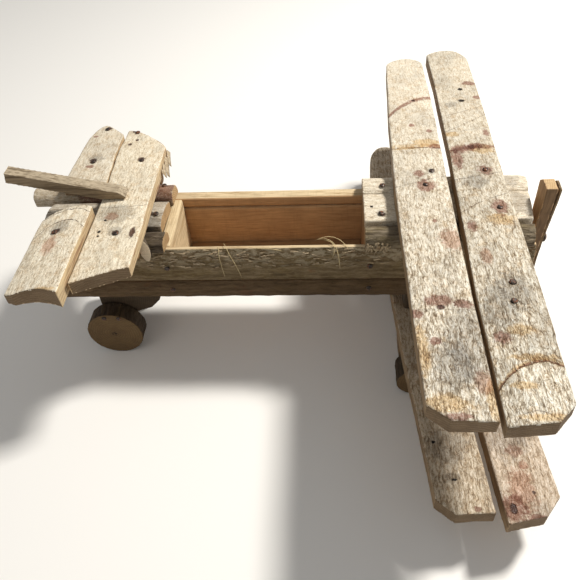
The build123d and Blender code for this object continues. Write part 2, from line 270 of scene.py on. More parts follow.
# what each kind of stain does to the bark under it, as a multiplier of its colour
STAINS = {
    "red": (0.47, 0.31, 0.28),
    "pink": (0.74, 0.57, 0.51),
    "orange": (0.88, 0.73, 0.53),
    "knot": (0.17, 0.11, 0.10),
    "hole": (0.035, 0.028, 0.025),
    "grey": (0.66, 0.66, 0.67),
    "pale": (1.16, 1.17, 1.18),
}

# pale bark, from the bottom of a wrinkle to its top
BARK_COLOURS = [
    (0.30, (0.22, 0.175, 0.125)),
    (0.42, (0.46, 0.39, 0.295)),
    (0.50, (0.665, 0.60, 0.49)),
    (0.64, (0.82, 0.785, 0.70)),
]

# between these two Y the bark turns from its starboard look to its port look; the tone shifts them
ROUGH_REACH = (-0.15, 0.30)


def add_spots(paint, colour, height, spots):
    """Blotches, knots and stains: each is kind, x, y, half sizes in x and y (millimetres)."""
    ragged = paint.noise(paint.place, 170, 7.0, 0.72)
    ragged = paint.times(paint.centred(ragged), 2.3)
    broken = paint.band(paint.noise(paint.place, 620, 4.0, 0.7), 0.30, 0.52)
    broken = paint.plus(paint.times(broken, 0.5), 0.5)
    for kind, x, y, half_x, half_y in spots:
        away = paint.vector("SUBTRACT", paint.place, (x * mm, y * mm, 0))
        away = paint.vector("MULTIPLY", away, (1 / (half_x * mm), 1 / (half_y * mm), 0))
        mask = paint.band(paint.plus(paint.vector("LENGTH", away), ragged), 1.25, 0.72)
        sharp = kind in ("hole", "knot")
        if not sharp:
            mask = paint.times(mask, broken)
        colour = paint.stained(mask, colour, STAINS[kind])
        if sharp:
            height = paint.minus(height, paint.times(mask, 1.1))
    return colour, height


def add_scars(paint, colour, height, scars):
    """Old growth rings across a plank: stain, x, y, slope, bow per metre, half width, strength."""
    here_x, here_y, _ = paint.coordinates(paint.place)
    wander = paint.times(paint.centred(paint.noise(paint.place, 110, 5.0)), 0.008)
    gaps = paint.noise(paint.place, 150, 3.0)
    for kind, x, y, slope, bow, half_width, strength in scars:
        offset = paint.minus(here_x, x * mm)
        line = paint.plus(paint.times(offset, slope), y * mm)
        line = paint.plus(line, paint.times(paint.times(offset, offset), bow))
        gap = paint.math("ABSOLUTE", paint.minus(paint.plus(here_y, wander), line))
        mask = paint.times(paint.band(gap, half_width * mm, 0.3 * half_width * mm), strength)
        mask = paint.times(mask, paint.band(gaps, 0.32, 0.46))
        colour = paint.stained(mask, colour, STAINS[kind])
        height = paint.minus(height, paint.times(mask, 0.6))
    return colour, height


def pale_bark(name, grain, tint, spots, scars, warmth, speckle=0.5, grey=0.45, rough_tips=(0.0, 1.0)):
    """Thin weathered bark: wavy wrinkles along the grain, mottled cream, tan and grey.

    rough_tips gives how wrinkled the bark is towards the port tip and towards the starboard tip,
    where 0 is smooth. warmth, speckle and grey are shares of tan, of brown dots and of cool grey.
    """
    paint = Paint(name)
    wavy = paint.warped(paint.place, 70, 6 * mm)
    wrinkle = paint.noise(paint.along(wavy, grain, 0.17), 470, 4.0, 0.58, 0.6)
    crease = paint.noise(paint.along(wavy, grain, 0.20), 300, 3.0, 0.55, 0.9)
    crease = paint.band(paint.math("ABSOLUTE", paint.centred(crease)), 0.050, 0.004)
    fine = paint.noise(paint.along(wavy, grain, 0.4), 1500, 4.0, 0.7)
    tone = paint.noise(paint.along(paint.place, grain, 0.6), 26, 7.0, 0.70)
    mottle = paint.noise(paint.place, 95, 7.0, 0.72)
    flecks = paint.noise(paint.place, 330, 5.0, 0.72)
    _, here_y, _ = paint.coordinates(paint.place)
    rough = paint.between(paint.plus(here_y, paint.times(tone, 0.2)), ROUGH_REACH, rough_tips)
    soft = paint.times(paint.centred(wrinkle), paint.times(rough, 0.75))
    grainy = paint.times(paint.centred(flecks), 0.35)
    shading = paint.plus(paint.plus(soft, grainy), 0.5)
    shading = paint.plus(shading, paint.times(paint.centred(wrinkle), 0.25))
    colour = paint.ramp(shading, BARK_COLOURS)
    folds = paint.times(crease, paint.times(rough, paint.band(mottle, 0.30, 0.60)))
    colour = paint.stained(folds, colour, (0.50, 0.43, 0.35))
    cool = paint.times(paint.band(tone, 0.44, 0.64), grey)
    colour = paint.stained(cool, colour, (0.55, 0.56, 0.58))
    tan = paint.times(paint.band(mottle, 0.48, 0.66), warmth)
    colour = paint.stained(tan, colour, (0.78, 0.60, 0.40))
    brown = paint.times(paint.band(flecks, 0.56, 0.68), 1.1 * speckle)
    colour = paint.stained(brown, colour, (0.56, 0.44, 0.32))
    colour = paint.mix(paint.band(fine, 0.43, 0.33), colour, (0.17, 0.13, 0.095))
    dots = paint.plus(paint.cells(wavy, 230), paint.times(mottle, 0.4))
    specks = paint.times(paint.band(dots, 0.34, 0.27), speckle)
    colour = paint.mix(specks, colour, (0.085, 0.06, 0.045))
    colour = paint.mix(1.0, colour, tint, "MULTIPLY")
    height = paint.times(wrinkle, paint.plus(paint.times(rough, 0.75), 0.25))
    height = paint.plus(height, paint.times(fine, 0.3))
    height = paint.minus(height, paint.times(folds, 0.45))
    colour, height = add_scars(paint, colour, height, scars)
    colour, height = add_spots(paint, colour, height, spots)
    return paint.finish(colour, height, paint.band(wrinkle, 0.8, 0.2), 0.9, 1.3 * mm)


def dark_bark(name, grain, dark, light, lit_edge=None):
    """Old rough bark: plates and cracks along the grain.

    lit_edge, where given, is the height where ragged pale patches start and where they are full.
    """
    paint = Paint(name)
    wavy = paint.warped(paint.place, 40, 9 * mm)
    plates = paint.noise(paint.along(wavy, grain, 0.10), 230, 7.0, 0.70)
    fine = paint.noise(paint.along(wavy, grain, 0.16), 900, 5.0, 0.70)
    moss = paint.noise(paint.along(paint.place, grain, 0.5), 36, 5.0, 0.65)
    middle = tuple((a + b) / 2 for a, b in zip(dark, light))
    stops = [(0.26, shade(dark, 0.45)), (0.42, dark), (0.58, middle), (0.76, light)]
    colour = paint.ramp(plates, stops)
    green = paint.times(paint.band(moss, 0.48, 0.66), 0.55)
    colour = paint.stained(green, colour, (0.74, 0.69, 0.46))
    rust = paint.times(paint.band(moss, 0.42, 0.30), 0.5)
    colour = paint.stained(rust, colour, (1.05, 0.66, 0.50))
    colour = paint.mix(paint.times(paint.band(fine, 0.44, 0.32), 0.6), colour, shade(dark, 0.35))
    if lit_edge is not None:
        _, _, here_z = paint.coordinates(paint.place)
        torn = paint.noise(paint.along(wavy, grain, 0.4), 190, 6.0, 0.72)
        edge = paint.plus(here_z, paint.times(paint.centred(torn), 0.055))
        mask = paint.times(paint.band(edge, lit_edge[0], lit_edge[1]), paint.band(torn, 0.45, 0.56))
        colour = paint.mix(paint.times(mask, 0.8), colour, (0.50, 0.42, 0.29))
    height = paint.plus(paint.times(plates, 1.5), paint.times(fine, 0.5))
    return paint.finish(colour, height, 0.93, 1.0, 3.2 * mm)


def sawn(name, grain, base, dark, streak, knots=()):
    """Sawn wood: fibres, a few darker growth lines and faint saw marks across the grain."""
    paint = Paint(name)
    wavy = paint.warped(paint.place, 20, 5 * mm)
    fibres = paint.noise(paint.along(wavy, grain, 0.04), 620, 4.0, 0.6)
    growth = paint.noise(paint.along(wavy, grain, 0.05), 130, 3.0, 0.5)
    across = [0.08, 0.08, 0.08]
    across["xyz".index(grain)] = 1.0
    marks = paint.noise(paint.vector("MULTIPLY", paint.place, tuple(across)), 420, 2.0)
    patch = paint.noise(paint.place, 28, 4.0)
    colour = paint.ramp(fibres, [(0.30, dark), (0.52, base), (0.72, shade(base, 1.18))])
    colour = paint.mix(paint.times(paint.band(growth, 0.56, 0.68), streak), colour, dark)
    colour = paint.mix(paint.times(paint.band(patch, 0.45, 0.7), 0.35), colour, shade(base, 0.62))
    colour = paint.mix(paint.times(paint.band(marks, 0.56, 0.66), 0.14), colour, shade(base, 0.5))
    height = paint.plus(fibres, paint.times(marks, 0.5))
    for x, y, z, radius in knots:
        away = paint.vector("SUBTRACT", wavy, (x * mm, y * mm, z * mm))
        near = paint.band(paint.vector("LENGTH", away), radius * mm, radius * 0.6 * mm)
        colour = paint.mix(near, colour, (0.10, 0.045, 0.02))
        height = paint.minus(height, near)
    return paint.finish(colour, height, 0.72, 0.55, 0.6 * mm)


def end_grain(name, centre, flat, light, dark, pitch, pith=False):
    """Growth rings about a log's centre line, which runs along the flat axis; radial checks."""
    paint = Paint(name)
    keep = [1.0, 1.0, 1.0]
    keep["xyz".index(flat)] = 0.0
    wavy = paint.warped(paint.place, 45, 5 * mm)
    away = paint.vector("MULTIPLY", paint.vector("SUBTRACT", wavy, centre), tuple(keep))
    radius = paint.vector("LENGTH", away)
    rings = paint.math("SINE", paint.times(radius, 2 * pi / pitch))
    rings = paint.plus(paint.times(rings, 0.5), 0.5)
    pores = paint.noise(paint.place, 1100, 3.0)
    saw = paint.noise(paint.vector("MULTIPLY", paint.place, (0.15, 1.0, 1.0)), 350, 4.0)
    patch = paint.noise(paint.place, 60, 5.0)
    colour = paint.mix(paint.times(rings, 0.55), light, dark)
    colour = paint.mix(paint.times(paint.band(saw, 0.5, 0.68), 0.5), colour, shade(light, 0.55))
    colour = paint.mix(paint.times(paint.band(patch, 0.42, 0.66), 0.5), colour, dark)
    colour = paint.mix(paint.times(paint.band(pores, 0.42, 0.32), 0.6), colour, shade(dark, 0.4))
    height = paint.plus(paint.times(rings, 0.4), paint.plus(pores, saw))
    if pith:
        ragged = paint.noise(paint.place, 420, 4.0, 0.75)
        star = paint.plus(radius, paint.times(paint.centred(ragged), 0.034))
        mask = paint.band(star, 2.6 * mm, 1.2 * mm)
        colour = paint.mix(mask, colour, (0.012, 0.008, 0.005))
        height = paint.minus(height, paint.times(mask, 2.0))
    return paint.finish(colour, height, 0.8, 0.7, 0.7 * mm)


def nail_steel():
    """Dark oxidised wire nails with patches of rust."""
    paint = Paint("nail_steel")
    scale = paint.noise(paint.place, 900, 5.0, 0.7)
    rust = paint.noise(paint.place, 260, 4.0)
    colour = paint.ramp(scale, [(0.3, (0.02, 0.018, 0.017)), (0.7, (0.13, 0.11, 0.10))])
    colour = paint.mix(paint.band(rust, 0.48, 0.62), colour, (0.17, 0.062, 0.026))
    paint.put(paint.shader.inputs["Metallic"], paint.band(rust, 0.62, 0.48))
    return paint.finish(colour, scale, paint.band(scale, 0.9, 0.1), 0.5, 0.3 * mm)


# ------------------------------------------------------------------ carving
# the classes of a slab's faces, in the order of its materials
BARK = 0
SAWN = 1
END = 2
RIM = 3

# changes per metre across the grain, and how far they are stretched along it
WAVES = (42, 0.35)
RIDGES = (240, 0.16)
LUMPS = (110, 0.5)
SAW_MARKS = (200, 0.6)


def voxelled(node, voxel):
    """The CAD node as an even mesh, and a search tree over its true faces."""
    form = bmesh.new()
    form.from_mesh(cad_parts[node].data)
    bmesh.ops.remove_doubles(form, verts=form.verts, dist=1e-6)
    tree = BVHTree.FromBMesh(form)
    mesh = bpy.data.meshes.new(node + "_start")
    form.to_mesh(mesh)
    form.free()
    start = bpy.data.objects.new(node + "_start", mesh)
    scene.collection.objects.link(start)
    remesh = start.modifiers.new("even", "REMESH")
    remesh.mode = "VOXEL"
    remesh.voxel_size = voxel
    graph = bpy.context.evaluated_depsgraph_get()
    even = bpy.data.meshes.new_from_object(start.evaluated_get(graph))
    bpy.data.objects.remove(start)
    return even, tree


def relaxed(places, edges, rounds, share=0.5):
    """Each vertex moves part of the way to the mean of its neighbours, which rounds sharp arrises."""
    counts = np.bincount(edges.ravel(), minlength=len(places))[:, None]
    for _ in range(rounds):
        total = np.zeros_like(places)
        np.add.at(total, edges[:, 0], places[edges[:, 1]])
        np.add.at(total, edges[:, 1], places[edges[:, 0]])
        places = places + share * (total / counts - places)
    return places


def fibre_noise(place, grain, texture, seed):
    """A value from about -1 to 1 that changes slowly along the grain."""
    across, stretch = texture
    point = Vector(place) * across
    point["xyz".index(grain)] *= stretch
    return noise.noise(point + Vector((seed, 2.7 * seed, 5.1 * seed)))


def carve(node, body, paints, sort_face, grain, voxel, bark_depth, sawn_depth, wander, seed,
          bend=None):
    """A CAD slab cut as rough wood: paints is one material for each class that sort_face returns.

    Bark is cut in by ridges along the grain, other faces by saw marks, all with a slow wander, and
    the arrises are eased. Sizes are in millimetres. The cuts go inwards from the CAD's faces; only
    the last easing can move a vertex the other way, in a hollow. bend may move the vertices after.
    """
    mesh, tree = voxelled(node, voxel * mm)
    count = len(mesh.vertices)
    places = np.zeros(count * 3, np.float32)
    mesh.vertices.foreach_get("co", places)
    places = places.reshape(-1, 3).astype(float)
    edges = np.zeros(len(mesh.edges) * 2, np.int32)
    mesh.edges.foreach_get("vertices", edges)
    edges = edges.reshape(-1, 2)
    inward = np.zeros_like(places)
    classes = np.zeros(count, int)
    for i in range(count):
        nearest, normal, _, _ = tree.find_nearest(places[i])
        places[i] = nearest
        inward[i] = -normal
        classes[i] = sort_face(normal, nearest)
    inward = relaxed(inward, edges, 2)
    for i in range(count):
        place = places[i]
        slow = 0.5 + 0.5 * fibre_noise(place, grain, WAVES, seed)
        if classes[i] == BARK:
            ridge = 1 - abs(fibre_noise(place, grain, RIDGES, seed + 3))
            lump = 0.5 + 0.5 * fibre_noise(place, grain, LUMPS, seed + 7)
            depth = bark_depth * (0.55 * (1 - ridge) * 2 + 0.45 * lump) + 0.5 * wander * slow
        else:
            mark = 0.5 + 0.5 * fibre_noise(place, grain, SAW_MARKS, seed + 11)
            depth = sawn_depth * mark + wander * slow
        places[i] = place + inward[i] * depth * mm
    places = relaxed(places, edges, 1, 0.6)
    if bend is not None:
        places = bend(places)
    mesh.vertices.foreach_set("co", places.astype(np.float32).ravel())
    for paint in paints:
        mesh.materials.append(paint)
    loops = [classes[list(face.vertices)] for face in mesh.polygons]
    indices = [int(np.bincount(corner).argmax()) for corner in loops]
    mesh.polygons.foreach_set("material_index", np.array(indices, np.int32))
    mesh.polygons.foreach_set("use_smooth", np.ones(len(indices), bool))
    mesh.update()
    piece = bpy.data.objects.new(node + "_wood", mesh)
    scene.collection.objects.link(piece)
    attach(piece, body)
    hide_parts(node)
    return piece


def top_bark(normal, place):
    """For planks across the fuselage: bark on top, sawn edges and underside, ends port and starboard."""
    if normal.z > 0.5:
        return BARK
    return END if abs(normal.y) > 0.45 else SAWN


def deck_bark(normal, place):
    """For slabs along the fuselage: bark on top and at the sides, sawn underneath."""
    if abs(normal.x) > 0.5:
        return END
    return BARK if normal.z > 0.05 or abs(normal.y) > 0.7 else SAWN


def wall_bark(normal, place):
    """For wall slabs: bark outside, sawn inside and below, and a fresher rim on top."""
    if abs(normal.x) > 0.7:
        return END
    if normal.z > 0.9:
        return RIM
    outward = normal.y if place.y > 0 else -normal.y
    return SAWN if outward < -0.9 or normal.z < -0.9 else BARK


def wheel_faces(normal, place):
    """For log slices: bark round the rim, and end grain as the sawn face."""
    return SAWN if abs(normal.y) > 0.6 else BARK


def all_sawn(normal, place):
    """For boards and blocks: sawn, with the ends port and starboard."""
    return END if abs(normal.y) > 0.7 else SAWN


# ------------------------------------------------------------------ the woods
def wing_materials():
    rear_spots = [
        ("knot", 196, 209, 2.5, 2.5),
        ("red", 188, 143, 4, 4), ("red", 210, 129, 4.5, 4), ("orange", 203, 100, 18, 9),
        ("red", 214, 92, 9, 6), ("orange", 178, 88, 18, 3), ("red", 187, 31, 6, 8),
        ("grey", 203, 36, 6, 6), ("red", 193, 7, 11, 12),
        ("pink", 210, -92, 13, 17), ("red", 185, -184, 15, 8), ("knot", 186, -193, 4, 3),
        ("red", 209, -188, 10, 6), ("red", 162, -201, 6, 6), ("orange", 163, -245, 7, 30),
        ("pink", 213, -282, 8, 14), ("orange", 219, -300, 7, 22), ("red", 186, -318, 13, 4),
        ("grey", 188, -266, 18, 30), ("orange", 178, -305, 20, 10), ("red", 196, -60, 3, 3),
        ("red", 176, -236, 6, 5), ("grey", 205, -240, 20, 44),
    ]
    rear_scars = [
        ("red", 196, 209, 0.62, -11.2, 6.5, 0.95), ("knot", 200, 88, 0.0, 0.6, 1.1, 0.75),
        ("orange", 196, 92, 0.0, 0.6, 7.0, 0.7), ("knot", 190, 16, 0.35, 2.0, 0.7, 0.5),
        ("knot", 178, -196, 0.0, 1.0, 0.7, 0.35), ("knot", 190, 152, -0.5, 2.0, 0.6, 0.35),
    ]
    front_spots = [
        ("hole", 266, 238, 3.4, 3.6), ("hole", 263, 205, 4.2, 3.6), ("red", 281, 255, 10, 6),
        ("red", 286, 214, 5, 5), ("red", 247, 84, 17, 9), ("red", 264, 89, 10, 8),
        ("orange", 272, 82, 15, 11), ("red", 238, 62, 7, 20), ("red", 283, 121, 4, 8),
        ("red", 268, 36, 9, 10), ("red", 272, -37, 9, 14),
        ("orange", 270, -58, 16, 10), ("grey", 252, 12, 16, 14), ("red", 236, -70, 5, 9),
        ("grey", 243, -195, 16, 36), ("grey", 262, -170, 17, 26), ("red", 238, -232, 8, 8),
        ("orange", 256, -222, 14, 7), ("orange", 262, -255, 24, 4), ("orange", 246, -286, 12, 4),
        ("orange", 238, 120, 10, 6), ("grey", 247, 196, 9, 7), ("pink", 243, -120, 6, 12),
        ("pale", 258, -298, 32, 36),
        ("orange", 262, -318, 24, 4), ("hole", 262, -159, 3.2, 3.6), ("hole", 258, -186, 3.4, 3.6),
    ]
    front_scars = [
        ("orange", 262, -259, 0.217, -15.1, 4.2, 0.95), ("red", 262, -260, 0.217, -15.1, 1.7, 0.9),
        ("knot", 262, -261, 0.217, -15.1, 0.9, 0.6), ("knot", 252, -312, 0.0, -28, 0.8, 0.5),
        ("knot", 235, 128, 0.55, 3, 0.6, 0.6), ("knot", 268, -19, 0.5, -3, 0.8, 0.6),
        ("knot", 250, 22, 0.22, 2, 0.8, 0.7), ("knot", 246, 170, 0.3, 4, 0.6, 0.5),
        ("knot", 262, 128, 0.15, 2, 0.6, 0.4), ("knot", 262, 222, 0.6, -5, 0.6, 0.4),
        ("red", 254, 86, 0.2, -6, 7.0, 0.8),
    ]
    low_rear_spots = [
        ("hole", 207, -290, 3, 1.6), ("grey", 205, -288, 9, 6),
        ("red", 226, -322, 4, 3), ("grey", 205, -250, 22, 22), ("hole", 190, -245, 2, 2),
    ]
    low_front_spots = [
        ("knot", 262, -321, 3.5, 5), ("red", 262, -320, 14, 15), ("red", 284, -330, 9, 4),
        ("knot", 286, -303, 2, 2),
        ("pink", 276, -255, 9, 7), ("pink", 282, -272, 5, 5), ("pink", 275, -300, 14, 24),
        ("grey", 270, -236, 24, 26),
    ]
    return {
        "top_wing_rear_plank": pale_bark(
            "top_rear_bark", "y", (1.03, 1.03, 1.02), rear_spots, rear_scars,
            warmth=0.42, rough_tips=(0.25, 1.1),
        ),
        "top_wing_front_plank": pale_bark(
            "top_front_bark", "y", (0.95, 0.95, 0.935), front_spots, front_scars,
            warmth=0.48, rough_tips=(0.35, 1.1),
        ),
        # the lower wing's bark is tinted darker than the top wing's: painted shade from the top wing above
        # it, deeper on the rear plank
        "bottom_wing_rear_plank": pale_bark(
            "low_rear_bark_shaded", "y", (0.80, 0.735, 0.66), low_rear_spots, (),
            warmth=0.45, speckle=0.35, grey=0.35, rough_tips=(0.7, 0.7),
        ),
        "bottom_wing_front_plank": pale_bark(
            "low_front_bark_shaded", "y", (0.90, 0.82, 0.77), low_front_spots, (),
            warmth=0.30, speckle=0.55, grey=0.55, rough_tips=(0.6, 0.6),
        ),
    }


def tail_materials():
    front_spots = [
        ("knot", -174, 80, 4.5, 4.5), ("grey", -172, -68, 9, 8), ("knot", -172, -70, 4, 4),
        ("grey", -180, -34, 22, 18), ("pink", -184, -40, 8, 7), ("hole", -192, -68, 2, 2),
        ("hole", -190, -47, 1.8, 1.8), ("knot", -152, -70, 3, 9), ("knot", -199, 151, 2.5, 2.5),
        ("knot", -190, 128, 2.2, 2.2), ("knot", -198, 118, 2.6, 2.2), ("hole", -191, -76, 1.6, 1.6),
    ]
    port_spots = [
        ("knot", -239, 79, 4.5, 5), ("knot", -238, 160, 4, 4), ("red", -240, 66, 6, 3),
        ("red", -252, 140, 4, 2.4), ("grey", -236, 86, 10, 8),
    ]
    starboard_spots = [
        ("grey", -240, -64, 13, 11), ("knot", -243, -69, 5.5, 4), ("pale", -236, -40, 24, 9),
        ("pink", -243, -94, 8, 15), ("orange", -226, -168, 14, 4),
        ("pale", -250, -92, 7, 26),
    ]
    starboard_scars = [("knot", -236, -50, 0.0, -22, 0.9, 0.9), ("knot", -232, -30, -0.1, -12, 0.8, 0.8)]
    front_scars = [("knot", -176, -22, 0.1, 2, 0.8, 0.5)]
    return {
        "tail_front_plank": pale_bark(
            "tail_front_bark", "y", (1.18, 1.17, 1.12), front_spots, front_scars,
            warmth=0.40, speckle=0.85, grey=0.30, rough_tips=(0.25, 0.40),
        ),
        "tail_rear_plank_port": pale_bark(
            "tail_port_bark", "y", (1.06, 1.05, 1.02), port_spots, (),
            warmth=0.40, speckle=0.80, grey=0.30, rough_tips=(0.25, 0.40),
        ),
        "tail_rear_plank_starboard": pale_bark(
            "tail_starboard_bark", "y", (1.17, 1.16, 1.12), starboard_spots, starboard_scars,
            warmth=0.40, speckle=0.60, grey=0.25, rough_tips=(0.3, 0.45),
        ),
    }


def plank_end(node):
    """End grain of a plank, with its rings about the middle of the log it was cut from."""
    low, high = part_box(node)
    centre = ((low.x + high.x) / 2, 0.0, low.z - 45 * mm)
    return end_grain(node + "_end", centre, "y", (0.225, 0.155, 0.09), (0.13, 0.085, 0.048), 3.2 * mm)


def build_wings():
    # the wing planks' sides and undersides: darker brown than fresh sawn wood, partly weathering and partly
    # painted shade for the sides turned away from the light
    edge = sawn("plank_edge_weathered_and_shaded", "y", (0.30, 0.205, 0.115), (0.135, 0.085, 0.045), 0.6)
    seeds = iter(range(3, 40, 4))
    for node, bark in wing_materials().items():
        carve(
            node, "airframe", [bark, edge, plank_end(node)], top_bark, "y",
            voxel=2.2, bark_depth=0.7, sawn_depth=0.3, wander=1.5, seed=next(seeds),
        )
    fresh = sawn("tail_edge", "y", (0.60, 0.465, 0.28), (0.27, 0.13, 0.07), 0.75)
    for node, bark in tail_materials().items():
        carve(
            node, "airframe", [bark, fresh, plank_end(node)], top_bark, "y",
            voxel=2.0, bark_depth=0.7, sawn_depth=0.3, wander=1.4, seed=next(seeds),
        )


def build_fuselage():
    warm = sawn("inner_wood", "x", (0.55, 0.34, 0.17), (0.40, 0.225, 0.105), 0.25)
    fresh = sawn("rim_wood", "x", (0.60, 0.475, 0.30), (0.33, 0.215, 0.105), 0.5)
    ends = end_grain("wall_end", (0, -0.02, 0.03), "x", (0.42, 0.30, 0.17), (0.25, 0.155, 0.08), 3 * mm)
    near_edge = (rim_z - 30 * mm, rim_z - 2 * mm)
    far_edge = (rim_z - 20 * mm, rim_z - 2 * mm)
    near = dark_bark("starboard_bark", "x", (0.155, 0.108, 0.054), (0.35, 0.265, 0.155), near_edge)
    low = dark_bark("lower_bark", "x", (0.105, 0.066, 0.033), (0.20, 0.13, 0.07))
    far = dark_bark("port_bark", "x", (0.15, 0.115, 0.07), (0.33, 0.27, 0.18), far_edge)
    walls = {
        "starboard_upper_slab": near, "starboard_lower_slab": low,
        "port_upper_slab": far, "port_lower_slab": far,
    }
    for seed, (node, bark) in enumerate(walls.items(), start=51):
        carve(
            node, "airframe", [bark, warm, ends, fresh], wall_bark, "x",
            voxel=2.2, bark_depth=2.2, sawn_depth=0.2, wander=0.5, seed=seed,
        )


def build_decks():
    sawn_face = sawn("deck_sawn", "x", (0.45, 0.32, 0.18), (0.25, 0.15, 0.07), 0.5)
    ends = end_grain("deck_end", (0, 0, 0.03), "x", (0.50, 0.345, 0.185), (0.30, 0.18, 0.085), 2.6 * mm)
    port_spots = [("grey", 300, 45, 14, 12)]
    centre_spots = [
        ("grey", 139, -18, 6, 6), ("knot", 141, -20, 3, 3), ("hole", 128, -6, 1.6, 1.6),
        ("grey", 300, 0, 18, 22),
    ]
    rear_spots = [("knot", -147, -12, 4, 4), ("grey", -145, -24, 14, 8)]
    log_spots = [("red", -145, 42, 24, 26), ("red", -180, 42, 30, 26), ("red", -220, 42, 34, 26)]
    white = (1.12, 1.11, 1.08)
    barks = {
        "front_deck_port": pale_bark(
            "deck_port_bark", "x", white, port_spots, (),
            warmth=0.2, speckle=0.5, grey=0.2, rough_tips=(0.35, 0.35),
        ),
        "front_deck_centre": pale_bark(
            "deck_centre_bark", "x", white, centre_spots, (),
            warmth=0.2, speckle=0.5, grey=0.2, rough_tips=(0.35, 0.35),
        ),
        "front_deck_starboard": dark_bark(
            "deck_starboard_bark", "x", (0.13, 0.10, 0.065), (0.42, 0.35, 0.25),
        ),
        "rear_deck_port": pale_bark(
            "reddish_bark", "x", (0.80, 0.76, 0.70), log_spots, (),
            warmth=0.5, speckle=0.6, grey=0.6,
        ),
        "rear_deck_centre": pale_bark(
            "rear_centre_bark", "x", (0.82, 0.81, 0.80), rear_spots, (),
            warmth=0.15, speckle=0.6, grey=0.5,
        ),
        "rear_deck_starboard": dark_bark(
            "rear_starboard_bark", "x", (0.065, 0.047, 0.032), (0.24, 0.19, 0.135),
        ),
    }
    for seed, (node, bark) in enumerate(barks.items(), start=61):
        rough = 2.6 if "starboard" in node else 0.8
        carve(
            node, "airframe", [bark, sawn_face, ends], deck_bark, "x",
            voxel=1.8, bark_depth=rough, sawn_depth=0.3, wander=0.9, seed=seed,
        )


def build_boards():
    knots = [(-125, -44, 70, 3.2)]
    light = sawn("bulkhead_wood", "y", (0.62, 0.495, 0.31), (0.38, 0.26, 0.13), 0.5, knots)
    brown = sawn("board_wood", "y", (0.36, 0.215, 0.105), (0.21, 0.115, 0.05), 0.4)
    floor = sawn("floor_wood", "x", (0.34, 0.20, 0.095), (0.20, 0.105, 0.045), 0.4)
    block = sawn("block_wood", "x", (0.075, 0.05, 0.030), (0.036, 0.024, 0.015), 0.6)
    block_end = end_grain("block_end", (0, 0, -0.07), "y", (0.085, 0.058, 0.034), (0.05, 0.034, 0.02), 3 * mm)
    long_block = sawn("axle_wood", "y", (0.20, 0.13, 0.07), (0.10, 0.062, 0.034), 0.6)
    plain = {
        "rear_bulkhead": light, "front_bulkhead": brown, "nose_board": brown, "tail_board": brown,
        "box_floor": floor, "belly_front": floor, "belly_rear": floor,
        "tail_batten_starboard": floor, "tail_batten_port": floor, "hub_spacer": brown,
    }
    for seed, (node, wood) in enumerate(plain.items(), start=81):
        voxel = 1.2 if node == "hub_spacer" else 2.4
        carve(
            node, "airframe", [wood, wood, wood], all_sawn, "y",
            voxel=voxel, bark_depth=0.3, sawn_depth=0.2, wander=0.2, seed=seed,
        )
    for seed, node in enumerate(("tail_block", "wing_spacer_block", "axle_block"), start=95):
        side = long_block if node == "axle_block" else block
        carve(
            node, "airframe", [side, side, block_end], all_sawn, "x",
            voxel=2.2, bark_depth=0.8, sawn_depth=0.8, wander=1.2, seed=seed,
        )


def build_wheels():
    rim = dark_bark("wheel_rim_bark", "y", (0.055, 0.038, 0.024), (0.15, 0.11, 0.07))
    wheels = ("tail_wheel_starboard", "tail_wheel_port", "front_wheel_starboard", "front_wheel_port")
    for seed, node in enumerate(wheels, start=111):
        low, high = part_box(node)
        middle = (low + high) / 2
        centre = (middle.x, 0.0, middle.z)
        light = (0.17, 0.108, 0.048)
        dark = (0.105, 0.062, 0.028)
        face = end_grain(node + "_face", centre, "y", light, dark, 3.4 * mm, pith=True)
        carve(
            node, "airframe", [rim, face], wheel_faces, "y",
            voxel=1.7, bark_depth=2.4, sawn_depth=0.4, wander=0.4, seed=seed,
        )


def build_fin():
    wood = sawn("fin_wood", "x", (0.40, 0.33, 0.235), (0.14, 0.10, 0.058), 0.9)
    side = sawn("fin_side", "x", (0.30, 0.225, 0.14), (0.11, 0.075, 0.042), 0.9)
    tip = end_grain("fin_tip", (-0.31, 0.0, 0.14), "x", (0.66, 0.54, 0.34), (0.42, 0.29, 0.15), 2 * mm)

    def faces(normal, place):
        if abs(normal.x) > 0.7:
            return END
        return BARK if normal.z > 0.3 else SAWN

    carve(
        "tail_fin_stick", "airframe", [wood, side, tip], faces, "x",
        voxel=1.5, bark_depth=1.3, sawn_depth=0.9, wander=0.9, seed=131,
    )


